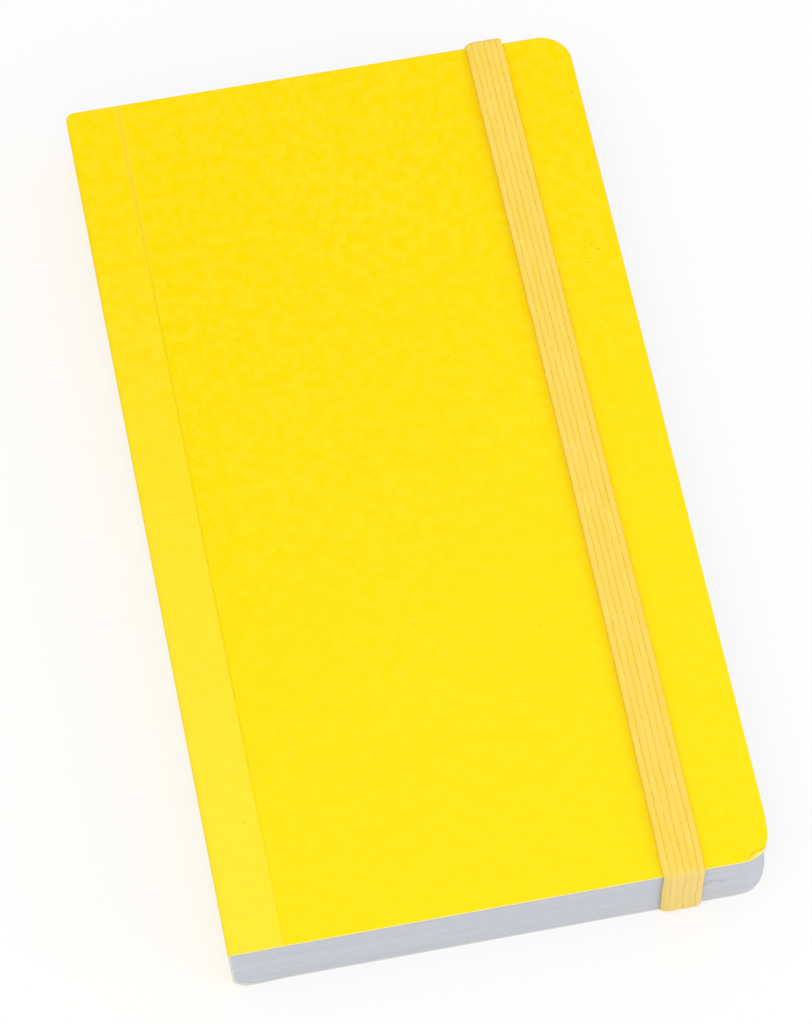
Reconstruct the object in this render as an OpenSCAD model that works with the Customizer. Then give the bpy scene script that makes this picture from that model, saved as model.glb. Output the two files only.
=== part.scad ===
// Closed notebook insert: a block of pages in a soft wrap cover that is scored
// along the spine on both faces, held shut by a six-cord elastic band.
// Frame: +X to the fore-edge, +Y to the head, +Z up through the front cover.
// The origin is on the resting face, at the middle of the notebook's box.

/* [Format] */
// Width from the spine to the fore-edge
book_w = 95; // [70:1:140]
// Height from the tail to the head
book_l = 171; // [120:1:230]
// Thickness over both covers
book_t = 14.5; // [9:0.5:25]
// Radius of the two trimmed corners at the fore-edge
corner_r = 5.8; // [3:0.2:10]

/* [Cover] */
// Thickness of the coated card
cover_t = 0.5; // [0.4:0.05:0.9]
// Distance from the spine's face to the score that the covers fold along
score_x = 9.6; // [6:0.2:14]
// Width of the gap that the score presses between strip and panel
score_w = 0.3; // [0.2:0.05:0.6]
// Radius of the pages' spine edge that the card folds over at the front
front_fold_r = 0.25; // [0.15:0.05:1.2]
// Radius of the pages' spine edge that the card folds under at the rear
rear_fold_r = 2.65; // [0.5:0.05:3.2]
// Angle that the spine leans in by, from the front cover down
spine_lean = 3; // [0:0.5:6]
// Glue line between the card and the pages
glue_gap = 0.05; // [0.02:0.01:0.15]

/* [Elastic band] */
// Distance from the fore-edge to the band's middle
band_inset = 15.8; // [10:0.2:30]
// Number of rubber cords woven into the band
cord_count = 6; // [4:1:8]
// Spacing of the cords
cord_pitch = 1.16; // [1.04:0.02:1.4]
// Diameter of one covered cord
cord_d = 1; // [0.8:0.05:1.1]
// Thickness of the woven web between the cords
web_t = 0.55; // [0.4:0.05:0.7]
// Play between the band and what it wraps
band_gap = 0.1; // [0.05:0.01:0.2]
// Width of the groove between two cords pinched flat under the rear cover
flat_groove_w = 0.16; // [0.1:0.02:0.3]
// Depth of that groove
flat_groove_t = 0.12; // [0.06:0.02:0.16]

/* [Band anchors] */
// Distance from the cover's end to the slit that takes the band
slit_inset = 14; // [8:1:30]
// Length of the slit's opening along the cover
slit_w = 0.6; // [0.5:0.05:1.2]
// Play between the band and its slit or channel
slit_gap = 0.06; // [0.04:0.01:0.1]
// Card left above the channel that the pinched band is pressed into
channel_roof_t = 0.12; // [0.08:0.02:0.16]

/* [Hidden] */
$fn = 64;
half_l = book_l / 2;
spine_x = -book_w / 2;
fore_x = book_w / 2;
fold_x = spine_x + score_x;
block_gap = cover_t + glue_gap;
band_x = fore_x - band_inset;
channel_t = cover_t - channel_roof_t;
flat_t = channel_t - slit_gap;
band_w = (cord_count - 1) * cord_pitch + cord_d;
// The inner bend clears the card's square edge while it is under 3.4 band gaps.
bend_r = 3 * band_gap;
// The lower turn stays outside the end of the pages.
turn_r = band_gap;
// The spine's flat face lies this far inside the folds, so that it meets them at a clear edge.
fold_ease = 0.004;
// Middles of the two folds, with the flat face between them at the lean's angle.
front_r = front_fold_r + block_gap;
rear_r = rear_fold_r + block_gap;
front_fold_x = spine_x + front_r;
front_fold_z = book_t - front_r;
fold_drop = front_fold_z - rear_r;
rear_fold_x = front_fold_x + (rear_r - front_r + fold_drop * sin(spine_lean)) / cos(spine_lean);
band_y = half_l + band_gap;
band_top = book_t + band_gap;
slit_y = half_l - slit_inset;
cut = 1;

// Plan of a leaf from x0 to the fore-edge, with the two trimmed corners.
module leaf_plan(x0) {
    translate([x0, -half_l])
        square([fore_x - corner_r - x0, book_l]);
    translate([x0, corner_r - half_l])
        square([fore_x - x0, book_l - 2 * corner_r]);
    for (side = [-1, 1])
        translate([fore_x - corner_r, side * (half_l - corner_r)])
            circle(r = corner_r);
}

// End view of the spine's side, set in from the outer faces by inset, up to x1.
module spine_section(inset, x1) {
    front_c = (front_r - inset - fold_ease) * cos(spine_lean);
    front_s = (front_r - inset - fold_ease) * sin(spine_lean);
    rear_c = (rear_r - inset - fold_ease) * cos(spine_lean);
    rear_s = (rear_r - inset - fold_ease) * sin(spine_lean);
    polygon([
        [x1, inset],
        [x1, book_t - inset],
        [front_fold_x, book_t - inset],
        [front_fold_x - front_c, front_fold_z - front_s],
        [rear_fold_x - rear_c, rear_r - rear_s],
        [rear_fold_x, inset],
    ]);
    translate([front_fold_x, front_fold_z])
        circle(r = front_r - inset);
    translate([rear_fold_x, rear_r])
        circle(r = rear_r - inset);
}

// Carries an end view drawn in X and Z along the notebook's length.
module along_length(from_y, to_y) {
    translate([0, to_y, 0])
        rotate([90, 0, 0])
            linear_extrude(height = to_y - from_y)
                children();
}

module page_block() {
    color([0.86, 0.86, 0.88])
        intersection() {
            translate([0, 0, block_gap])
                linear_extrude(height = book_t - 2 * block_gap)
                    leaf_plan(spine_x - cut);
            along_length(-half_l - cut, half_l + cut)
                spine_section(block_gap, fore_x + cut);
        }
}

module spine_wrap() {
    color([0.99, 0.91, 0.2])
        along_length(-half_l, half_l)
            difference() {
                spine_section(0, fold_x - score_w / 2);
                spine_section(cover_t, fold_x + cut);
            }
}

// Flat panel of card beyond the score, lying on the pages or under them.
module cover_panel(z0) {
    translate([0, 0, z0])
        linear_extrude(height = cover_t)
            leaf_plan(fold_x + score_w / 2);
}

module front_cover() {
    color([1, 0.9, 0.08])
        cover_panel(book_t - cover_t);
}

// Slit and pressed channel that take the band at the head.
module band_channel() {
    channel_w = band_w + 2 * slit_gap;
    translate([band_x - channel_w / 2, slit_y - slit_w, -cut])
        cube([channel_w, slit_w, cover_t + 2 * cut]);
    translate([band_x - channel_w / 2, slit_y - slit_w, -cut])
        cube([channel_w, slit_inset + slit_w + cut, channel_t + cut]);
}

module rear_cover() {
    color([1, 0.9, 0.08])
        difference() {
            cover_panel(0);
            band_channel();
            mirror([0, 1, 0])
                band_channel();
        }
}

// Section of the free band: round cords joined by a woven web. Its inner face is at 0.
module band_section() {
    translate([-(band_w - cord_d) / 2, (cord_d - web_t) / 2])
        square([band_w - cord_d, web_t]);
    for (i = [0 : cord_count - 1])
        translate([(i - (cord_count - 1) / 2) * cord_pitch, cord_d / 2])
            circle(d = cord_d, $fn = 24);
}

// Section of the pinched band: flat cords on a thin web.
module flat_section() {
    cord_w = cord_pitch - flat_groove_w;
    translate([-band_w / 2, flat_groove_t])
        square([band_w, flat_t - flat_groove_t]);
    for (i = [0 : cord_count - 1])
        translate([(i - (cord_count - 1) / 2) * cord_pitch - cord_w / 2, 0])
            square([cord_w, flat_t]);
}

// Quarter turn of the band with its inner face at radius r, from facing +X to facing +Y.
module band_turn(r) {
    rotate_extrude(angle = 90)
        translate([r, 0])
            rotate(-90)
                band_section();
}

// Half of the band, from the middle of the front cover to its slit near the head.
module band_half() {
    bend_z = band_top - bend_r;
    turn_z = cord_d + turn_r;
    leg_y = slit_y - slit_w + slit_gap;
    // Run over the front cover
    translate([0, 0, band_top])
        along_length(0, band_y - bend_r)
            band_section();
    // Bend over the front cover's edge
    translate([0, band_y - bend_r, bend_z])
        rotate([90, 0, 90])
            band_turn(bend_r);
    // Run down the end of the pages
    translate([0, band_y, turn_z])
        linear_extrude(height = bend_z - turn_z)
            band_section();
    // Turn in under the rear cover
    translate([0, band_y - turn_r, turn_z])
        rotate([0, 90, 0])
            band_turn(turn_r);
    // Pinched run to the slit
    along_length(leg_y, band_y)
        flat_section();
    // End turned up through the slit
    translate([-band_w / 2, leg_y, 0])
        cube([band_w, slit_w - 2 * slit_gap, cover_t]);
}

module elastic_band() {
    color([0.98, 0.85, 0.38])
        translate([band_x, 0, 0]) {
            band_half();
            mirror([0, 1, 0])
                band_half();
        }
}

page_block();
spine_wrap();
front_cover();
rear_cover();
elastic_band();
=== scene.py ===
import math

import bmesh
import bpy
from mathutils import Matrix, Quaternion, Vector, noise


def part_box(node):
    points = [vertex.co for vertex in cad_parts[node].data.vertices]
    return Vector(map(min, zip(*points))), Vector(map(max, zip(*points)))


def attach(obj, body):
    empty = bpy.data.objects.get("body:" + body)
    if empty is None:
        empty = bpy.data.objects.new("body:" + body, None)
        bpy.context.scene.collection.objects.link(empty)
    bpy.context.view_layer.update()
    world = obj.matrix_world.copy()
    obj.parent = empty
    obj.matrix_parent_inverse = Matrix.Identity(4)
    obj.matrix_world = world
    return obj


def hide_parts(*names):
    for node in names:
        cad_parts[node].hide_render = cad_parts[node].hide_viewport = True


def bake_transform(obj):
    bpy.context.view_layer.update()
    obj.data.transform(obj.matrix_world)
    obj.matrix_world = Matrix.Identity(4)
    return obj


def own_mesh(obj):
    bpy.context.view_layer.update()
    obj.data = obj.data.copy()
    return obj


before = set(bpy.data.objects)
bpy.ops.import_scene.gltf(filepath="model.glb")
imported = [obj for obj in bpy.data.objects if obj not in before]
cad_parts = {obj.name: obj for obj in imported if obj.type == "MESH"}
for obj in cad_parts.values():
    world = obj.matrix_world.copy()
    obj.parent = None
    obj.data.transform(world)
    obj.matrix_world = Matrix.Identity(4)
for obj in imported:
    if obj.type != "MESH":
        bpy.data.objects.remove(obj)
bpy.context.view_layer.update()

MM = 0.001

# Places taken from the solid model
wrap_low, wrap_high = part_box("spine_wrap")
front_low, front_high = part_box("front_cover")
pages_low, pages_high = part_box("page_block")
band_low, band_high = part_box("elastic_band")

SPINE_X = wrap_low.x
FORE_X = front_high.x
HALF_L = front_high.y
TOP_Z = front_high.z
CARD_T = front_high.z - front_low.z
SCORE_X = (wrap_high.x + front_low.x) / 2
BAND_X = (band_low.x + band_high.x) / 2
BAND_W = band_high.x - band_low.x

# Folds of the card along the spine, and the lean of the spine between them
CORNER_R = 5.8 * MM
FRONT_EDGE_R = 0.8 * MM
REAR_EDGE_R = 3.2 * MM
SPINE_LEAN = math.radians(3)
FRONT_FOLD = Vector((SPINE_X + FRONT_EDGE_R, TOP_Z - FRONT_EDGE_R))
FOLD_DROP = FRONT_FOLD.y - REAR_EDGE_R
FOLD_RUN = (REAR_EDGE_R - FRONT_EDGE_R + FOLD_DROP * math.sin(SPINE_LEAN)) / math.cos(SPINE_LEAN)
REAR_FOLD = Vector((FRONT_FOLD.x + FOLD_RUN, REAR_EDGE_R))

# Handling wear of the card
HEAD_SPINE_R = 1.55 * MM
TAIL_SPINE_R = 0.3 * MM
HEAD_TRIM = 0.22 * MM
TAIL_SWELL = 0.2 * MM
FLAP_DROP = 0.42 * MM
FLAP_WIDTH = 0.75 * MM
FORE_NICK = 0.2 * MM
FRONT_BULGE = 0.15 * MM
REAR_BULGE = 0.2 * MM

# Score pressed into the card beside the spine
SCORE_LINE_X = SCORE_X + 0.1 * MM
SCORE_HALF_W = 0.34 * MM
SCORE_DEPTH = 0.045 * MM

# Channels and slits in the rear card
CHANNEL_PLAY = 0.06 * MM
CHANNEL_DEPTH = 0.38 * MM
SLIT_DEPTH = 0.47 * MM
SLIT_INNER = HALF_L - 14.6 * MM
SLIT_OUTER = HALF_L - 14.0 * MM
WALL_W = 0.03 * MM

# Leaves of the page block
LEAF_COUNT = 110
SECTION_LEAVES = 8
LEAF_STEP = 0.018 * MM
SECTION_STEP = 0.02 * MM
ENDPAPER_STEP = 0.1 * MM
CORNER_RECESS = 0.22 * MM
GLUE_GAP = 0.005 * MM

# Cords of the elastic band
CORD_COUNT = 6
CORD_D = 1.0 * MM
CORD_PITCH = (BAND_W - CORD_D) / (CORD_COUNT - 1)
BAND_GAP = 0.1 * MM
BEND_R = 0.3 * MM
PINCHED_HIGH = 0.34 * MM
PINCHED_LOW = 0.02 * MM

# Light levels: a surface lying flat renders about as its colour is written
SKY_LEVEL = 0.82
KEY_POWER = 2.3
KEY_PLACE = (-0.25, -0.30, 0.95)
KEY_SIZE = 1.0
FILL_POWER = 1.5
FILL_PLACE = (0.75, -0.55, 0.35)
FILL_SIZE = 0.5
FLOOR_GLOW = 0.65

# Camera that took the photograph
CAMERA_PLACE = Vector((-78.015, -377.894, 737.925)) * MM
CAMERA_TARGET = Vector((-0.730, -4.521, 7.0)) * MM
CAMERA_ROLL = math.radians(0.542)
CAMERA_LENS = 161.72


def srgb(red, green, blue):
    """A colour as seen on screen, 0 to 255, as linear values with full alpha."""
    def linear(value):
        share = value / 255
        if share <= 0.04045:
            return share / 12.92
        return ((share + 0.055) / 1.055) ** 2.4
    return (linear(red), linear(green), linear(blue), 1.0)


def smooth(low, high, value):
    """0 up to low, 1 from high on, with an eased step between."""
    share = min(1.0, max(0.0, (value - low) / (high - low)))
    return share * share * (3 - 2 * share)


def hump(low, peak_low, peak_high, high, value):
    """1 between the two peaks, easing to 0 at low and high."""
    return smooth(low, peak_low, value) * (1 - smooth(peak_high, high, value))


def wander(seed, *place):
    """Smooth noise from about -1 to 1, the same on each run."""
    return noise.noise(Vector(place) + Vector((seed * 17.3, seed * 5.1, seed * 3.7)))


# Node helpers

def new_material(name):
    material = bpy.data.materials.new(name)
    material.use_nodes = True
    return material, material.node_tree, material.node_tree.nodes["Principled BSDF"]


def add(tree, kind, inputs=None, **settings):
    """A new node. An input given as a socket is linked, and any other value is set."""
    node = tree.nodes.new(kind)
    for key, value in settings.items():
        setattr(node, key, value)
    for key, value in (inputs or {}).items():
        if isinstance(value, bpy.types.NodeSocket):
            tree.links.new(value, node.inputs[key])
        else:
            node.inputs[key].default_value = value
    return node


def math_of(tree, operation, first, second=0.0):
    return add(tree, "ShaderNodeMath", {0: first, 1: second}, operation=operation).outputs[0]


def times(tree, first, second):
    return math_of(tree, "MULTIPLY", first, second)


def mapped(tree, value, low, high, to_low=0.0, to_high=1.0):
    inputs = {"Value": value, "From Min": low, "From Max": high, "To Min": to_low, "To Max": to_high}
    return add(tree, "ShaderNodeMapRange", inputs, interpolation_type="SMOOTHSTEP").outputs[0]


def mix(tree, share, first, second):
    node = add(tree, "ShaderNodeMix", data_type="RGBA")
    for socket, value in ((node.inputs[0], share), (node.inputs[6], first), (node.inputs[7], second)):
        if isinstance(value, bpy.types.NodeSocket):
            tree.links.new(value, socket)
        else:
            socket.default_value = value
    return node.outputs[2]


def rest_place(tree):
    """Place of a point on the closed card, which stays on the card as it bends."""
    return add(tree, "ShaderNodeAttribute", attribute_name="rest").outputs["Vector"]


def level_of(tree, name):
    return add(tree, "ShaderNodeAttribute", attribute_name=name).outputs["Fac"]


def stretched(tree, place, scale):
    return add(tree, "ShaderNodeMapping", {"Vector": place, "Scale": scale}).outputs[0]


def noise_at(tree, place, scale, detail=3.0, roughness=0.55):
    inputs = {"Vector": place, "Scale": scale, "Detail": detail, "Roughness": roughness}
    return add(tree, "ShaderNodeTexNoise", inputs).outputs[0]


def line_at(tree, value, centre, half_width, soft):
    """1 within half_width of a centre line, falling to 0 over soft."""
    off = math_of(tree, "ABSOLUTE", math_of(tree, "SUBTRACT", value, centre))
    return mapped(tree, off, half_width, half_width + soft, 1.0, 0.0)


def spot(tree, place, centre, radius, soft):
    """1 within radius of a point in millimetres, falling to 0 over soft."""
    point = [value * MM for value in centre]
    far = add(tree, "ShaderNodeVectorMath", {0: place, 1: point}, operation="DISTANCE").outputs["Value"]
    return mapped(tree, far, radius * MM, (radius + soft) * MM, 1.0, 0.0)


def spots(tree, place, marks):
    """The strongest of several spots, each given as centre, radius and softness."""
    total = None
    for centre, radius, soft in marks:
        one = spot(tree, place, centre, radius, soft)
        total = one if total is None else math_of(tree, "MAXIMUM", total, one)
    return total


def bump(tree, shader, height, strength, distance, below=None):
    inputs = {"Height": height, "Strength": strength, "Distance": distance}
    if below is not None:
        inputs["Normal"] = below
    node = add(tree, "ShaderNodeBump", inputs)
    tree.links.new(node.outputs[0], shader.inputs["Normal"])
    return node.outputs[0]


def finish_piece(shape, name, materials):
    """Turns the edited shape into an object at the origin with its materials."""
    mesh = bpy.data.meshes.new(name)
    shape.to_mesh(mesh)
    shape.free()
    for material in materials:
        mesh.materials.append(material)
    piece = bpy.data.objects.new(name, mesh)
    bpy.context.scene.collection.objects.link(piece)
    return piece


def start_ring(shape, count):
    """A closed ring of vertices, in order, with its edges."""
    ring = bmesh.ops.create_circle(shape, cap_ends=False, radius=1.0, segments=count)["verts"]
    return ring, list({edge for vert in ring for edge in vert.link_edges})


def grow(shape, ring, edges):
    """Extrudes a closed ring of vertices once, and gives the new ring in the same order."""
    made = bmesh.ops.extrude_edge_only(shape, edges=edges)["geom"]
    fresh = {item for item in made if isinstance(item, bmesh.types.BMVert)}
    pairs = {}
    for vert in fresh:
        for edge in vert.link_edges:
            other = edge.other_vert(vert)
            if other not in fresh:
                pairs[other] = vert
    new_edges = {edge for vert in fresh for edge in vert.link_edges if edge.other_vert(vert) in fresh}
    return [pairs[vert] for vert in ring], list(new_edges)


# Card

# Dots of dirt on the front cover: place in millimetres, radius and softness
COVER_SPECKS = [
    ((42.64, 39.56, 14.5), 0.10, 0.14),
    ((43.53, 38.16, 14.5), 0.10, 0.12),
    ((41.14, 35.76, 14.5), 0.10, 0.12),
    ((12.13, 21.37, 14.5), 0.08, 0.12),
    ((-4.47, -30.33, 14.5), 0.08, 0.12),
    ((17.30, -34.82, 14.5), 0.08, 0.12),
    ((46.02, 72.26, 14.5), 0.10, 0.14),
    ((-40.44, -61.83, 14.5), 0.08, 0.12),
]


def coated_card():
    """Matte yellow coating, mottled and toothed and worn at its edges. Painted light: paler towards the
    tail and the fore-edge, a painted sheen on the strip beside the spine, and painted shade in the
    score, along the spine fold and at the bent corner.
    """
    material, tree, shader = new_material("coated_card")
    place = rest_place(tree)
    split = add(tree, "ShaderNodeSeparateXYZ", {"Vector": place})
    across, along = split.outputs["X"], split.outputs["Y"]
    clouds = noise_at(tree, place, 45.0, 2.0, 0.5)
    mottle = noise_at(tree, place, 420.0, 4.0, 0.65)
    tooth = noise_at(tree, place, 2600.0, 3.0, 0.6)
    colour = mix(tree, mapped(tree, mottle, 0.4, 0.6), srgb(255, 221, 0), srgb(255, 226, 30))
    colour = mix(tree, mapped(tree, clouds, 0.35, 0.65, 0.0, 0.25), colour, srgb(255, 222, 0))
    # Painted light: the coating is painted paler towards the tail and the fore-edge, where more light
    # falls.
    aslant = math_of(tree, "SUBTRACT", times(tree, across, 0.5), along)
    painted_lighting = mapped(tree, aslant, -HALF_L, HALF_L, 0.0, 0.6)
    colour = mix(tree, painted_lighting, colour, srgb(255, 235, 32))
    # Painted sheen: the strip between the spine and the score is painted paler, most towards the tail.
    paler = mapped(tree, along, -50 * MM, 80 * MM, 0.28, 0.0)
    strip = mapped(tree, across, SCORE_LINE_X - 0.4 * MM, SCORE_LINE_X + 0.1 * MM, 1.0, 0.0)
    colour = mix(tree, times(tree, strip, paler), colour, srgb(255, 236, 90))
    # Painted shade in the pressed score, weaker towards the tail.
    uneven = mapped(tree, mottle, 0.35, 0.65, 0.25, 0.75)
    weaker = mapped(tree, along, -80 * MM, -30 * MM, 0.35, 1.0)
    line = times(tree, line_at(tree, across, SCORE_LINE_X, 0.06 * MM, 0.22 * MM), weaker)
    colour = mix(tree, times(tree, line, uneven), colour, srgb(236, 202, 0))
    near_head = mapped(tree, along, 30 * MM, 82 * MM)
    streak = times(tree, line_at(tree, across, SCORE_LINE_X, 0.1 * MM, 0.9 * MM), near_head)
    colour = mix(tree, times(tree, streak, 0.5), colour, srgb(255, 218, 64))
    # Painted shade along the fold at the spine.
    folded = line_at(tree, across, SPINE_X, 0.12 * MM, 0.3 * MM)
    colour = mix(tree, times(tree, folded, 0.15), colour, srgb(226, 180, 40))
    trimmed = times(tree, level_of(tree, "trim"), mapped(tree, mottle, 0.3, 0.7, 0.15, 0.5))
    colour = mix(tree, trimmed, colour, srgb(222, 200, 50))
    worn = times(tree, level_of(tree, "wear"), mapped(tree, mottle, 0.25, 0.7, 0.65, 1.0))
    colour = mix(tree, mapped(tree, worn, 0.15, 0.8, 0.0, 0.7), colour, srgb(250, 238, 150))
    # Darker orange line along the bend of the corner's rim: cracks in the coating, with painted shade of
    # the bend.
    cracked_and_shaded = times(tree, level_of(tree, "crack_and_shade"), mapped(tree, mottle, 0.3, 0.65, 0.4, 1.0))
    colour = mix(tree, times(tree, cracked_and_shaded, 0.85), colour, srgb(226, 172, 66))
    dirt = spots(tree, place, COVER_SPECKS)
    colour = mix(tree, times(tree, dirt, 0.45), colour, srgb(150, 122, 30))
    tree.links.new(colour, shader.inputs["Base Color"])
    tree.links.new(mapped(tree, mottle, 0.3, 0.7, 0.52, 0.66), shader.inputs["Roughness"])
    shader.inputs["Specular IOR Level"].default_value = 0.04
    soft = bump(tree, shader, mottle, 0.18, 0.05 * MM)
    bump(tree, shader, tooth, 0.3, 0.03 * MM, soft)
    return material


def board_edge():
    """Cut edge of the card: cream board at the front, greyer at the rear, under a thin yellow skin."""
    material, tree, shader = new_material("board_edge")
    place = rest_place(tree)
    height = add(tree, "ShaderNodeSeparateXYZ", {"Vector": place}).outputs["Z"]
    fibre = noise_at(tree, stretched(tree, place, (1.0, 1.0, 5.0)), 1500.0, 3.0, 0.6)
    cream = mix(tree, fibre, srgb(236, 226, 150), srgb(246, 238, 190))
    grey = mix(tree, fibre, srgb(206, 206, 206), srgb(222, 222, 222))
    at_front = mapped(tree, height, TOP_Z - 4 * CARD_T, TOP_Z - 2 * CARD_T)
    board = mix(tree, at_front, grey, cream)
    skin = times(tree, at_front, mapped(tree, level_of(tree, "skin"), 0.93, 0.99))
    colour = mix(tree, skin, board, srgb(246, 230, 110))
    tree.links.new(colour, shader.inputs["Base Color"])
    shader.inputs["Roughness"].default_value = 0.8
    shader.inputs["Specular IOR Level"].default_value = 0.2
    bump(tree, shader, fibre, 0.5, 0.05 * MM)
    return material


def card_lining():
    """Uncoated inner face of the card."""
    material, tree, shader = new_material("card_lining")
    place = rest_place(tree)
    fibre = noise_at(tree, place, 900.0, 4.0, 0.6)
    cloud = noise_at(tree, place, 60.0, 3.0, 0.5)
    colour = mix(tree, cloud, srgb(234, 232, 222), srgb(244, 242, 234))
    colour = mix(tree, mapped(tree, fibre, 0.4, 0.7, 0.0, 0.3), colour, srgb(222, 219, 206))
    tree.links.new(colour, shader.inputs["Base Color"])
    shader.inputs["Roughness"].default_value = 0.85
    shader.inputs["Specular IOR Level"].default_value = 0.2
    bump(tree, shader, fibre, 0.3, 0.03 * MM)
    return material


def trim_end(x, y_side, z):
    """How far the trimmed card and leaves reach along Y at a place across them."""
    reach = HALF_L
    into = x - (FORE_X - CORNER_R)
    if into > 0:
        reach = HALF_L - CORNER_R + math.sqrt(max(0.0, CORNER_R ** 2 - into ** 2))
    if y_side > 0:
        return reach - HEAD_TRIM * smooth(BAND_X - 6 * MM, BAND_X + 4 * MM, x)
    from_spine = x - SPINE_X
    swell = hump(1 * MM, 3 * MM, 4.5 * MM, 10.5 * MM, from_spine) * (1 - smooth(0.5 * MM, 3 * MM, z))
    return reach + TAIL_SWELL * swell


def spine_corner(from_spine, y_side, z):
    """How much shorter the card is at a spine corner. The one at the head is crushed round."""
    radius = TAIL_SPINE_R
    if y_side > 0:
        radius = HEAD_SPINE_R * (0.35 + 0.65 * smooth(TOP_Z - 6 * MM, TOP_Z, z))
    into = radius - from_spine
    if into <= 0:
        return 0.0
    return radius - math.sqrt(max(0.0, radius ** 2 - into ** 2))


def corner_angle(x, y):
    """Angle round the tail's fore-edge corner, in degrees: -90 at the tail, 0 at the fore-edge."""
    return math.degrees(math.atan2(y + HALF_L - CORNER_R, x - FORE_X + CORNER_R))


def corner_reach(x, y):
    """Distance from the middle of that corner's arc, and 0 outside its quarter."""
    across = x - FORE_X + CORNER_R
    along = y + HALF_L - CORNER_R
    if across <= 0 or along >= 0:
        return 0.0
    return math.hypot(across, along)


def front_dip(angle):
    """Share by which that corner is bent down at the front, by the angle round it."""
    return hump(-72, -50, -40, -33, angle)


def rear_swell(angle):
    """Share by which that corner bulges at the rear, by the angle round it."""
    return hump(-85, -62, -25, 6, angle)


def flap_width(angle):
    """Width of the bent rim of the front card, by the angle round the corner."""
    return 0.02 * MM + FLAP_WIDTH * hump(-88, -66, -62, -40, angle)


def flap_drop(x, y):
    """How far the front card's tail corner is bent down at a point."""
    angle = corner_angle(x, y)
    width = flap_width(angle)
    beyond = max(0.0, corner_reach(x, y) - CORNER_R + width) / width
    return FLAP_DROP * front_dip(angle) * min(1.0, beyond) ** 1.5


def pushed_out(point, amount):
    """Moves a point near the rim of that corner away from the middle of its arc."""
    reach = corner_reach(point.x, point.y)
    share = amount * smooth(CORNER_R - 1.5 * MM, CORNER_R, reach) / max(reach, MM)
    point.x = min(FORE_X, point.x + (point.x - FORE_X + CORNER_R) * share)
    point.y += (point.y + HALF_L - CORNER_R) * share
    return point


def card_section(front):
    """Half of the folded card in section, from the fore-edge to the middle of the spine.
    Each station is an outer and an inner point, in X and Z."""
    inward = -1 if front else 1
    face_z = TOP_Z if front else 0.0
    stations = []

    def level(x, depth=0.0):
        stations.append((Vector((x, face_z + inward * depth)), Vector((x, face_z + inward * CARD_T))))

    corner_steps = 45
    for i in range(corner_steps):
        level(FORE_X - CORNER_R * (1 - math.cos(math.pi / 2 * i / corner_steps)))
    groove_start = SCORE_LINE_X + SCORE_HALF_W
    places = [FORE_X - CORNER_R - i * 1.6 * MM for i in range(46)]
    if not front:
        side = BAND_W / 2 + CHANNEL_PLAY
        for edge in (BAND_X - side, BAND_X + side):
            places += [edge - WALL_W, edge + WALL_W]
    for x in sorted((place for place in places if place > groove_start + 0.2 * MM), reverse=True):
        level(x)
    groove_steps = 12
    for i in range(groove_steps + 1):
        turn = i / groove_steps
        depth = SCORE_DEPTH * 0.5 * (1 - math.cos(2 * math.pi * turn))
        level(groove_start - 2 * SCORE_HALF_W * turn, depth)
    fold = FRONT_FOLD if front else REAR_FOLD
    radius = FRONT_EDGE_R if front else REAR_EDGE_R
    strip_start = SCORE_LINE_X - SCORE_HALF_W
    strip_steps = 10
    for i in range(1, strip_steps):
        level(strip_start + (fold.x - strip_start) * i / strip_steps)
    fold_steps = 12
    from_angle = math.pi / 2 if front else 3 * math.pi / 2
    to_angle = math.pi + SPINE_LEAN
    for i in range(fold_steps + 1):
        angle = from_angle + (to_angle - from_angle) * i / fold_steps
        out = Vector((math.cos(angle), math.sin(angle)))
        stations.append((fold + out * radius, fold + out * (radius - CARD_T)))
    out = Vector((math.cos(to_angle), math.sin(to_angle)))
    front_touch = FRONT_FOLD + out * FRONT_EDGE_R
    rear_touch = REAR_FOLD + out * REAR_EDGE_R
    near, far = (front_touch, rear_touch) if front else (rear_touch, front_touch)
    face_steps = 6
    for i in range(1, face_steps + 1):
        point = near.lerp(far, 0.5 * i / face_steps)
        stations.append((point, point - out * CARD_T))
    return stations


def end_shares(front):
    """Places along the cover, as shares of its half length, closer together near the ends."""
    places = [0.12 * MM * i for i in range(12)]
    places += [1.44 * MM + 0.45 * MM * i for i in range(14)]
    places += [8.0 * MM + (HALF_L - 8.0 * MM) * i / 26 for i in range(26)]
    if not front:
        for edge in (SLIT_OUTER, SLIT_INNER):
            places += [HALF_L - edge - WALL_W, HALF_L - edge + WALL_W]
    rising = [1 - distance / HALF_L for distance in sorted(places)]
    return [-share for share in rising] + [0.0] + rising[::-1]


def channel_depth(x, y):
    """Depth of the pressed channels and the slits that take the band under the rear card."""
    side = BAND_W / 2 + CHANNEL_PLAY
    within = 1 - smooth(side - WALL_W, side + WALL_W, abs(x - BAND_X))
    run = smooth(SLIT_INNER - WALL_W, SLIT_INNER + WALL_W, abs(y))
    slit = run * (1 - smooth(SLIT_OUTER - WALL_W, SLIT_OUTER + WALL_W, abs(y)))
    return within * (CHANNEL_DEPTH * run + (SLIT_DEPTH - CHANNEL_DEPTH) * slit)


def card_point(station, share, front, outer):
    """A point of the card in the notebook's frame."""
    x, z = station[0] if outer else station[1]
    side = 1 if share > 0 else -1
    end = trim_end(station[0].x, side, z) - spine_corner(station[0].x - SPINE_X, side, z)
    y = share * end
    angle = corner_angle(x, y)
    if not front:
        if outer:
            z += channel_depth(x, y)
        return pushed_out(Vector((x, y, z)), REAR_BULGE * rear_swell(angle))
    z -= flap_drop(x, y)
    if outer:
        flat = smooth(SPINE_X + 1 * MM, SPINE_X + 4 * MM, x)
        z -= 0.012 * MM * (1 + wander(3, x * 60, y * 45, 0.0)) * flat
    from_tail = y + HALF_L
    nick = hump(2.4 * MM, 4.3 * MM, 5.6 * MM, 7.7 * MM, from_tail) * smooth(FORE_X - 3 * MM, FORE_X, x)
    point = pushed_out(Vector((x, y, z)), FRONT_BULGE * hump(-64, -46, -40, -33, angle))
    point.x -= FORE_NICK * nick
    return point


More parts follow.
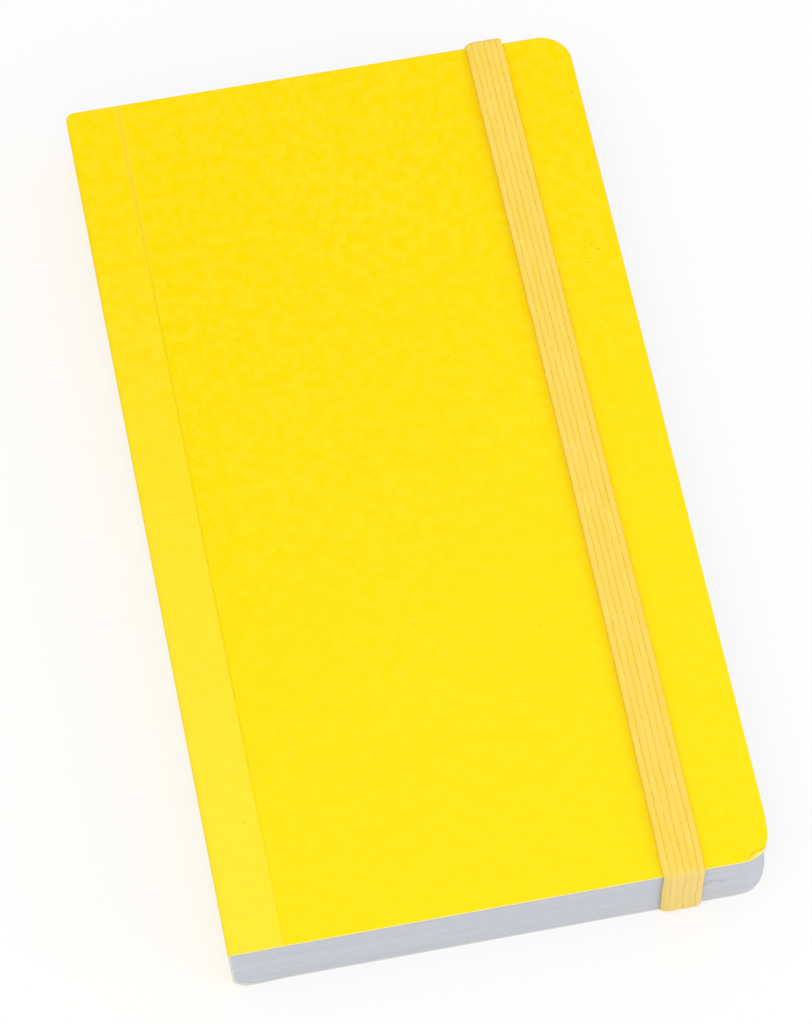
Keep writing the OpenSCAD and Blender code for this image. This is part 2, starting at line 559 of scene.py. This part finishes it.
def edge_levels(point, front):
    """How worn, how near a trimmed edge, and how dark the line along the corner's bend is at a point:
    cracks in the coating there, with painted shade of the bend.
    """
    side = 1 if point.y > 0 else -1
    to_end = trim_end(point.x, side, point.z) - abs(point.y)
    to_edge = min(to_end, FORE_X - point.x)
    reach = corner_reach(point.x, point.y)
    if reach > 0:
        to_edge = CORNER_R - reach
    trim = 1 - smooth(0.0, 0.3 * MM, to_edge)
    wear = 0.35 * trim * (1 if side < 0 else 0.3)
    crack_and_shade = 0.0
    if front and reach > 0:
        angle = corner_angle(point.x, point.y)
        width = flap_width(angle)
        from_bend = reach - CORNER_R + width
        # Line along the bend: cracks in the coating, with painted shade of the bend.
        crack_and_shade = hump(-84, -70, -46, -36, angle) * (1 - smooth(0.05 * MM, 0.28 * MM, abs(from_bend)))
        wear = max(wear, hump(-80, -60, -42, -33, angle) * smooth(0.35 * width, 0.8 * width, from_bend))
    return wear, crack_and_shade, trim * (1 if side > 0 else 0.4)


def wrap_card(name, front):
    """Half of the folded card, as a closed sheet: one cover, its strip and half of the spine."""
    stations = card_section(front)
    shares = end_shares(front)
    sheet = bmesh.new()
    across = sheet.verts.layers.int.new("across")
    along = sheet.verts.layers.int.new("along")
    skin = sheet.verts.layers.float.new("skin")
    wear = sheet.verts.layers.float.new("wear")
    crack_and_shade = sheet.verts.layers.float.new("crack_and_shade")
    trim = sheet.verts.layers.float.new("trim")
    rest = sheet.verts.layers.float_vector.new("rest")
    bmesh.ops.create_grid(sheet, x_segments=len(stations) - 1, y_segments=len(shares) - 1, size=0.5)
    for vert in sheet.verts:
        vert[across] = round((0.5 - vert.co.x) * (len(stations) - 1))
        vert[along] = round((vert.co.y + 0.5) * (len(shares) - 1))
    grown = bmesh.ops.extrude_face_region(sheet, geom=sheet.faces[:], use_keep_orig=True)
    outside = {item for item in grown["geom"] if isinstance(item, bmesh.types.BMVert)}
    for vert in sheet.verts:
        outer = vert in outside
        vert.co = card_point(stations[vert[across]], shares[vert[along]], front, outer)
        vert[rest] = vert.co
        vert[skin] = 1.0 if outer else 0.0
        if outer:
            vert[wear], vert[crack_and_shade], vert[trim] = edge_levels(vert.co, front)
    for face in sheet.faces:
        face.smooth = True
        count = sum(vert in outside for vert in face.verts)
        face.material_index = 0 if count == len(face.verts) else 2 if count == 0 else 1
    for edge in sheet.edges:
        kinds = {face.material_index for face in edge.link_faces}
        edge.smooth = len(kinds) == 1
    bmesh.ops.recalc_face_normals(sheet, faces=sheet.faces[:])
    return finish_piece(sheet, name, [CARD, CARD_EDGE, LINING])


# Page block

# Handling marks on the trimmed leaves at the tail, and one spot of painted shade beside the band
PAGE_SMUDGES_AND_SHADE = [
    ((38.9, -85.5, 7.8), 0.15, 0.6),
    ((38.3, -85.5, 8.0), 0.05, 0.55),
    ((37.5, -85.5, 8.3), 0.1, 0.6),
    ((36.4, -85.5, 8.5), 0.2, 0.7),
    # painted shade of the band on the leaves
    ((35.6, -85.5, 7.6), 0.2, 0.9),
    ((-47.1, -85.5, 8.0), 0.1, 0.35),
    ((-46.7, -85.5, 4.6), 0.1, 0.35),
]


def page_paper():
    """Cool white paper. The trimmed sides show single leaves as fine streaks."""
    material, tree, shader = new_material("page_paper")
    place = add(tree, "ShaderNodeTexCoord").outputs["Object"]
    streaks = noise_at(tree, stretched(tree, place, (18.0, 18.0, 5200.0)), 1.0, 3.0, 0.7)
    bands = noise_at(tree, stretched(tree, place, (5.0, 5.0, 500.0)), 1.0, 2.0, 0.6)
    fibre = noise_at(tree, place, 1800.0, 3.0, 0.6)
    colour = mix(tree, mapped(tree, streaks, 0.3, 0.7), srgb(195, 198, 203), srgb(205, 208, 213))
    colour = mix(tree, mapped(tree, bands, 0.35, 0.7, 0.0, 0.35), colour, srgb(200, 199, 214))
    colour = mix(tree, mapped(tree, fibre, 0.55, 0.8, 0.0, 0.15), colour, srgb(188, 188, 192))
    height = add(tree, "ShaderNodeSeparateXYZ", {"Vector": place}).outputs["Z"]
    shade = mapped(tree, height, pages_high.z - 0.75 * MM, pages_high.z - 0.1 * MM, 0.0, 0.4)
    colour = mix(tree, shade, colour, srgb(186, 182, 208))
    # Handling marks, and painted shade beside the band.
    smudged_and_shaded = spots(tree, place, PAGE_SMUDGES_AND_SHADE)
    colour = mix(tree, times(tree, smudged_and_shaded, 0.25), colour, srgb(140, 138, 150))
    tree.links.new(colour, shader.inputs["Base Color"])
    shader.inputs["Roughness"].default_value = 0.88
    shader.inputs["Specular IOR Level"].default_value = 0.2
    bump(tree, shader, streaks, 0.25, 0.03 * MM)
    return material


def page_face():
    """Flat of the outermost leaf, seen once a cover is open."""
    material, tree, shader = new_material("page_face")
    place = add(tree, "ShaderNodeTexCoord").outputs["Object"]
    fibre = noise_at(tree, place, 1100.0, 4.0, 0.6)
    cloud = noise_at(tree, place, 40.0, 3.0, 0.5)
    colour = mix(tree, cloud, srgb(224, 225, 229), srgb(232, 233, 236))
    colour = mix(tree, mapped(tree, fibre, 0.45, 0.75, 0.0, 0.3), colour, srgb(214, 214, 217))
    tree.links.new(colour, shader.inputs["Base Color"])
    shader.inputs["Roughness"].default_value = 0.88
    shader.inputs["Specular IOR Level"].default_value = 0.2
    bump(tree, shader, fibre, 0.25, 0.03 * MM)
    return material


def spine_inner_x(z):
    """Inner face of the folded card at a height."""
    low_z = REAR_FOLD.y - REAR_EDGE_R * math.sin(SPINE_LEAN)
    high_z = FRONT_FOLD.y - FRONT_EDGE_R * math.sin(SPINE_LEAN)
    if z < low_z:
        radius = REAR_EDGE_R - CARD_T
        return REAR_FOLD.x - math.sqrt(max(0.0, radius ** 2 - (REAR_FOLD.y - z) ** 2))
    if z > high_z:
        radius = FRONT_EDGE_R - CARD_T
        return FRONT_FOLD.x - math.sqrt(max(0.0, radius ** 2 - (z - FRONT_FOLD.y) ** 2))
    flat = FRONT_FOLD.x - (FRONT_EDGE_R - CARD_T) * math.cos(SPINE_LEAN)
    return flat + (high_z - z) * math.tan(SPINE_LEAN)


def leaf_outline():
    """Plan of one leaf, from the spine at the tail round to the head: points and outward directions."""
    start_x = pages_low.x
    end_x = FORE_X - CORNER_R
    turn = HALF_L - CORNER_R
    points = []
    for i in range(30):
        points.append((start_x + (end_x - start_x) * i / 30, -HALF_L, 0.0, -1.0))
    for i in range(14):
        angle = -math.pi / 2 + math.pi / 2 * i / 14
        across, along = math.cos(angle), math.sin(angle)
        points.append((end_x + CORNER_R * across, -turn + CORNER_R * along, across, along))
    for i in range(40):
        points.append((FORE_X, -turn + 2 * turn * i / 40, 1.0, 0.0))
    for i in range(14):
        angle = math.pi / 2 * i / 14
        across, along = math.cos(angle), math.sin(angle)
        points.append((end_x + CORNER_R * across, turn + CORNER_R * along, across, along))
    for i in range(31):
        points.append((end_x - (end_x - start_x) * i / 30, HALF_L, 0.0, 1.0))
    return points


def leaf_back(leaf, x, y):
    """How far a leaf stands back from the trimmed face."""
    step = LEAF_STEP * (1 + wander(leaf, x * 25, y * 25, 0.4))
    if leaf % SECTION_LEAVES == 0:
        step += SECTION_STEP
    if leaf in (0, LEAF_COUNT - 1):
        step += ENDPAPER_STEP
    return step


def leaf_point(point, leaf, z):
    """A point of a leaf's trimmed edge at a height."""
    x, y, out_x, out_y = point
    side = 1 if y > 0 else -1
    place = Vector((x, y, z))
    near_spine = 1 - smooth(0.0, 12 * MM, x - pages_low.x)
    place.x += (spine_inner_x(z) - pages_low.x + GLUE_GAP) * near_spine
    end = trim_end(x, side, z)
    reach = end if x < FORE_X - CORNER_R else min(abs(y), end)
    place.y = math.copysign(reach - spine_corner(place.x - SPINE_X, side, z), y)
    back = leaf_back(leaf, x, y)
    if y < CORNER_R - HALF_L + 4 * MM and x > FORE_X - CORNER_R:
        angle = corner_angle(x, y)
        upper = smooth(3 * MM, 6 * MM, z)
        back += CORNER_RECESS * upper * hump(-70, -48, -10, 30, angle)
        back -= REAR_BULGE * (1 - upper) * rear_swell(angle)
        place.z -= FLAP_DROP * front_dip(angle) * smooth(TOP_Z - 6 * MM, TOP_Z, z)
    place.x = min(FORE_X, place.x - out_x * back)
    place.y -= out_y * back
    return place


def stack_of_pages():
    """Leaves piled up and trimmed together, each a little in or out of line."""
    outline = leaf_outline()
    block = bmesh.new()
    ring, edges = start_ring(block, len(outline))
    low = CARD_T + GLUE_GAP
    high = TOP_Z - CARD_T - GLUE_GAP
    leaf_t = (high - low) / LEAF_COUNT

    def lay(verts, leaf, z):
        for vert, point in zip(verts, outline):
            vert.co = leaf_point(point, leaf, z)

    lay(ring, 0, low)
    bmesh.ops.contextual_create(block, geom=edges)
    for level in range(1, 2 * LEAF_COUNT):
        ring, edges = grow(block, ring, edges)
        lay(ring, level // 2, low + leaf_t * ((level + 1) // 2))
    bmesh.ops.contextual_create(block, geom=edges)
    bmesh.ops.recalc_face_normals(block, faces=block.faces[:])
    for face in block.faces:
        face.material_index = 1 if len(face.verts) > 4 else 0
    return finish_piece(block, "page_stack", [PAPER, PAGE_FACE])


# Elastic band

# Height of the groove's floor between two cords, as a share of the cord's half thickness
GROOVE_FLOOR = (0.76, 0.86, 0.74, 0.9, 0.7)


def woven_elastic():
    """Knitted cover of the cords: fine chevrons and stray fibres, with painted shade in the grooves
    between the cords and on the end faces where the band turns down.
    """
    material, tree, shader = new_material("woven_elastic")
    uv = add(tree, "ShaderNodeUVMap", uv_map="weave").outputs[0]
    split = add(tree, "ShaderNodeSeparateXYZ", {"Vector": uv})
    across, along = split.outputs["X"], split.outputs["Y"]
    turn = math_of(tree, "FRACT", math_of(tree, "ADD", across, 30.0))
    off_axis = math_of(tree, "ABSOLUTE", math_of(tree, "SUBTRACT", turn, 0.5))
    slant = math_of(tree, "ADD", times(tree, off_axis, 1.8), times(tree, along, 1.7))
    ridge = math_of(tree, "SINE", times(tree, slant, 6.2832))
    fuzz = noise_at(tree, stretched(tree, uv, (9.0, 2.0, 1.0)), 1.0, 4.0, 0.65)
    drift = noise_at(tree, stretched(tree, uv, (0.7, 0.12, 1.0)), 1.0, 3.0, 0.6)
    dashes = noise_at(tree, stretched(tree, uv, (2.2, 1.1, 1.0)), 1.0, 2.0, 0.5)
    colour = mix(tree, mapped(tree, drift, 0.3, 0.7), srgb(252, 216, 82), srgb(255, 222, 102))
    colour = mix(tree, mapped(tree, fuzz, 0.5, 0.8, 0.0, 0.3), colour, srgb(246, 206, 84))
    # Painted shade in the grooves between the cords.
    groove = times(tree, mapped(tree, off_axis, 0.36, 0.47), mapped(tree, dashes, 0.3, 0.65, 0.3, 0.9))
    colour = mix(tree, groove, colour, srgb(238, 192, 68))
    # Painted shade on the end faces where the band turns down: a duller, paler tone.
    painted_lighting = times(tree, level_of(tree, "painted_lighting"), mapped(tree, fuzz, 0.3, 0.6, 0.7, 1.0))
    colour = mix(tree, times(tree, painted_lighting, 0.6), colour, srgb(232, 206, 132))
    tree.links.new(colour, shader.inputs["Base Color"])
    shader.inputs["Roughness"].default_value = 0.82
    shader.inputs["Specular IOR Level"].default_value = 0.15
    shader.inputs["Sheen Weight"].default_value = 0.15
    shader.inputs["Sheen Roughness"].default_value = 0.5
    knit = bump(tree, shader, ridge, 0.35, 0.04 * MM)
    bump(tree, shader, fuzz, 0.45, 0.06 * MM, knit)
    return material


def band_ring():
    """Points round the band's section: across in cord pitches, height from 0 inside to 1 outside."""
    steps = 10
    roundness = 0.55
    top = []
    for cord in range(CORD_COUNT):
        middle = cord - (CORD_COUNT - 1) / 2
        left = GROOVE_FLOOR[cord - 1] if cord > 0 else 0.0
        right = GROOVE_FLOOR[cord] if cord < CORD_COUNT - 1 else 0.0
        for i in range(0 if cord == 0 else 1, steps + 1):
            angle = math.pi - math.pi * i / steps
            side = math.copysign(abs(math.cos(angle)) ** roundness, math.cos(angle))
            height = abs(math.sin(angle)) ** roundness
            floor = left if side < 0 else right
            top.append((middle + 0.5 * side, max(height, floor)))
    over = [(across, 0.5 + 0.5 * height) for across, height in top]
    under = [(across, 0.5 - 0.5 * height) for across, height in top]
    return over + under[-2:0:-1]


def band_route():
    """Stations along the band: a point on its inner face and one on its outer face."""
    wall_y = HALF_L + BAND_GAP
    roof_z = TOP_Z + BAND_GAP
    turn_z = CORD_D + BAND_GAP
    leg_y = SLIT_INNER + 0.1 * MM

    def half(side):
        stations = []

        def at(inner_y, inner_z, outer_y, outer_z):
            stations.append((Vector((0, side * inner_y, inner_z)), Vector((0, side * outer_y, outer_z))))

        at(leg_y + 0.36 * MM, CARD_T - 0.04 * MM, leg_y, CARD_T - 0.04 * MM)
        at(leg_y + 0.38 * MM, PINCHED_HIGH, leg_y + 0.06 * MM, 0.12 * MM)
        run_start = leg_y + 0.5 * MM
        run_length = HALF_L - 0.2 * MM - run_start
        for i in range(12):
            y = run_start + run_length * i / 11
            at(y, PINCHED_HIGH, y, PINCHED_LOW)
        for i in range(1, 10):
            angle = math.pi / 2 * i / 10
            inner_y = HALF_L - 0.1 * MM + 0.2 * MM * smooth(0.0, 0.35, i / 10)
            inner_z = PINCHED_HIGH + (turn_z - PINCHED_HIGH) * smooth(0.1, 1.0, i / 10)
            outer_z = max(PINCHED_LOW, turn_z - turn_z * math.cos(angle))
            at(inner_y, inner_z, HALF_L + turn_z * math.sin(angle), outer_z)
        for i in range(31):
            z = turn_z + (roof_z - BEND_R - turn_z) * i / 30
            at(wall_y, z, wall_y + CORD_D, z)
        centre_y = wall_y - BEND_R
        centre_z = roof_z - BEND_R
        outer_r = BEND_R + CORD_D
        for i in range(1, 10):
            across = math.cos(math.pi / 2 * i / 10)
            up = math.sin(math.pi / 2 * i / 10)
            inner = (centre_y + BEND_R * across, centre_z + BEND_R * up)
            outer = (centre_y + outer_r * across, centre_z + outer_r * up)
            at(*inner, *outer)
        return stations

    run_end = wall_y - BEND_R
    run_steps = 170
    over = []
    for i in range(run_steps + 1):
        y = -run_end + 2 * run_end * i / run_steps
        over.append((Vector((0, y, roof_z)), Vector((0, y, roof_z + CORD_D))))
    return half(-1) + over + half(1)[::-1]


def on_tail_face(y):
    """1 where the band hangs down over the pages' tail, and 0 on the cover."""
    return 1 - smooth(-HALF_L - 0.7 * MM, -HALF_L + 0.3 * MM, y)


def band_centre(y, travelled):
    """The band's middle strays a little: it leans at the tail, where it snakes from being pulled."""
    tail = 1 - smooth(-HALF_L, -HALF_L + 45 * MM, y)
    loose = 1 - smooth(-HALF_L + 4 * MM, -HALF_L + 26 * MM, y)
    snake = 0.08 * MM * math.sin(travelled / (5.2 * MM)) * loose
    return BAND_X + 0.14 * MM - 0.36 * MM * tail + 0.16 * MM * on_tail_face(y) + snake


def band_spread(y):
    """Width of the stretched band. It is narrowest past its middle and spreads at both ends."""
    tail = 1 - smooth(-HALF_L, 0.25 * HALF_L, y)
    head = smooth(0.25 * HALF_L, HALF_L, y)
    return 0.972 + 0.075 * tail + 0.02 * head - 0.05 * on_tail_face(y)


def band_crown(across, y):
    """The outermost cords are squashed where the band turns over the head and the tail."""
    turning = smooth(HALF_L - 2.5 * MM, HALF_L - 0.5 * MM, abs(y))
    left = 0.5 * smooth(1.9, 3.0, -across)
    right = 0.25 * smooth(2.2, 3.0, across)
    return 1 - turning * (left + right)


def closure_band():
    """Six cords under one knitted cover, swept round the notebook from slit to slit."""
    section = band_ring()
    route = band_route()
    band = bmesh.new()
    painted_lighting = band.verts.layers.float.new("painted_lighting")
    weave = band.loops.layers.uv.new("weave")
    ring, edges = start_ring(band, len(section))
    spots_on = {}
    travelled = 0.0

    def lay(verts, station):
        inner, outer = station
        middle = band_centre(inner.y, travelled)
        loose = 1 - smooth(-HALF_L, -HALF_L + 30 * MM, inner.y)
        for vert, (across, height) in zip(verts, section):
            sway = (0.10 + 0.16 * loose) * MM * wander(9, across * 0.9, travelled * 260, 0.0)
            inside = 1 - smooth(2.2, 2.9, abs(across))
            x = middle + across * CORD_PITCH * band_spread(inner.y) + sway * (0.25 + 0.75 * inside)
            pull = 1 - 0.03 * (1 + wander(5, across * 2.3, travelled * 160, 2.0)) * height
            point = inner.lerp(outer, height * pull * band_crown(across, inner.y))
            vert.co = Vector((x, point.y, point.z))
            # Painted shade: marks the band's end faces, where it turns down over the head and the tail.
            vert[painted_lighting] = smooth(HALF_L - 0.2 * MM, HALF_L + 0.5 * MM, abs(point.y))
            spots_on[vert] = (across, travelled / MM)

    lay(ring, route[0])
    bmesh.ops.contextual_create(band, geom=edges)
    for last, station in zip(route, route[1:]):
        travelled += ((station[0] + station[1]) / 2 - (last[0] + last[1]) / 2).length
        ring, edges = grow(band, ring, edges)
        lay(ring, station)
    bmesh.ops.contextual_create(band, geom=edges)
    bmesh.ops.recalc_face_normals(band, faces=band.faces[:])
    for face in band.faces:
        face.smooth = len(face.verts) == 4
        for loop in face.loops:
            loop[weave].uv = spots_on[loop.vert]
    return finish_piece(band, "closure_band", [ELASTIC])


# Stage

def seen_rays(tree):
    """1 for rays from the camera, also by way of a mirror or glass, and 0 for light on its way."""
    rays = add(tree, "ShaderNodeLightPath")
    seen = math_of(tree, "MAXIMUM", rays.outputs["Is Camera Ray"], rays.outputs["Is Glossy Ray"])
    return math_of(tree, "MAXIMUM", seen, rays.outputs["Is Transmission Ray"])


def studio_floor():
    """White paper sweep. It is seen half as glowing white, so that it keeps a soft shadow."""
    material, tree, shader = new_material("studio_floor")
    shader.inputs["Base Color"].default_value = (0.96, 0.96, 0.96, 1.0)
    shader.inputs["Roughness"].default_value = 1.0
    shader.inputs["Specular IOR Level"].default_value = 0.0
    white = add(tree, "ShaderNodeEmission", {"Color": (1.0, 1.0, 1.0, 1.0), "Strength": 1.0})
    share = times(tree, seen_rays(tree), FLOOR_GLOW)
    blend = add(tree, "ShaderNodeMixShader", {0: share, 1: shader.outputs[0], 2: white.outputs[0]})
    tree.links.new(blend.outputs[0], tree.nodes["Material Output"].inputs["Surface"])
    return material


def lay_floor():
    sweep = bmesh.new()
    bmesh.ops.create_grid(sweep, x_segments=1, y_segments=1, size=3.0)
    finish_piece(sweep, "floor", [studio_floor()])


def soft_lamp(name, place, size, power):
    """A square soft box that faces the notebook."""
    lamp = bpy.data.lights.new(name, "AREA")
    lamp.size = size
    lamp.energy = power
    holder = bpy.data.objects.new(name, lamp)
    holder.location = place
    holder.rotation_euler = (-Vector(place)).to_track_quat("-Z", "Y").to_euler()
    bpy.context.scene.collection.objects.link(holder)


def light_sky():
    world = bpy.data.worlds.new("studio")
    world.use_nodes = True
    tree = world.node_tree
    dim = tree.nodes["Background"]
    dim.inputs["Color"].default_value = (1.0, 1.0, 1.0, 1.0)
    dim.inputs["Strength"].default_value = SKY_LEVEL
    white = add(tree, "ShaderNodeBackground", {"Color": (1.0, 1.0, 1.0, 1.0), "Strength": 1.0})
    inputs = {0: seen_rays(tree), 1: dim.outputs[0], 2: white.outputs[0]}
    choice = add(tree, "ShaderNodeMixShader", inputs)
    tree.links.new(choice.outputs[0], tree.nodes["World Output"].inputs["Surface"])
    bpy.context.scene.world = world


def place_camera():
    """The photograph's view: high over the tail, a little from the spine side."""
    camera = bpy.data.cameras.new("camera")
    camera.sensor_fit = "VERTICAL"
    camera.sensor_height = 36.0
    camera.lens = CAMERA_LENS
    camera.clip_start = 0.02
    holder = bpy.data.objects.new("camera", camera)
    roll = Quaternion((0, 0, 1), CAMERA_ROLL)
    holder.rotation_mode = "QUATERNION"
    holder.rotation_quaternion = (CAMERA_TARGET - CAMERA_PLACE).to_track_quat("-Z", "Y") @ roll
    holder.location = CAMERA_PLACE
    bpy.context.scene.collection.objects.link(holder)
    bpy.context.scene.camera = holder


place_camera()
light_sky()
lay_floor()
soft_lamp("key_light", KEY_PLACE, KEY_SIZE, KEY_POWER)
soft_lamp("fill_light", FILL_PLACE, FILL_SIZE, FILL_POWER)

CARD = coated_card()
CARD_EDGE = board_edge()
LINING = card_lining()
PAPER = page_paper()
PAGE_FACE = page_face()
ELASTIC = woven_elastic()

front_card = wrap_card("front_card", True)
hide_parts("front_cover", "spine_wrap")
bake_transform(front_card)

rear_card = wrap_card("rear_card", False)
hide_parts("rear_cover", "spine_wrap")
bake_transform(rear_card)

page_stack = stack_of_pages()
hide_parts("page_block")
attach(page_stack, "block")

elastic = closure_band()
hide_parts("elastic_band")
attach(elastic, "rear")
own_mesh(elastic)

bpy.context.scene.view_settings.view_transform = "Standard"
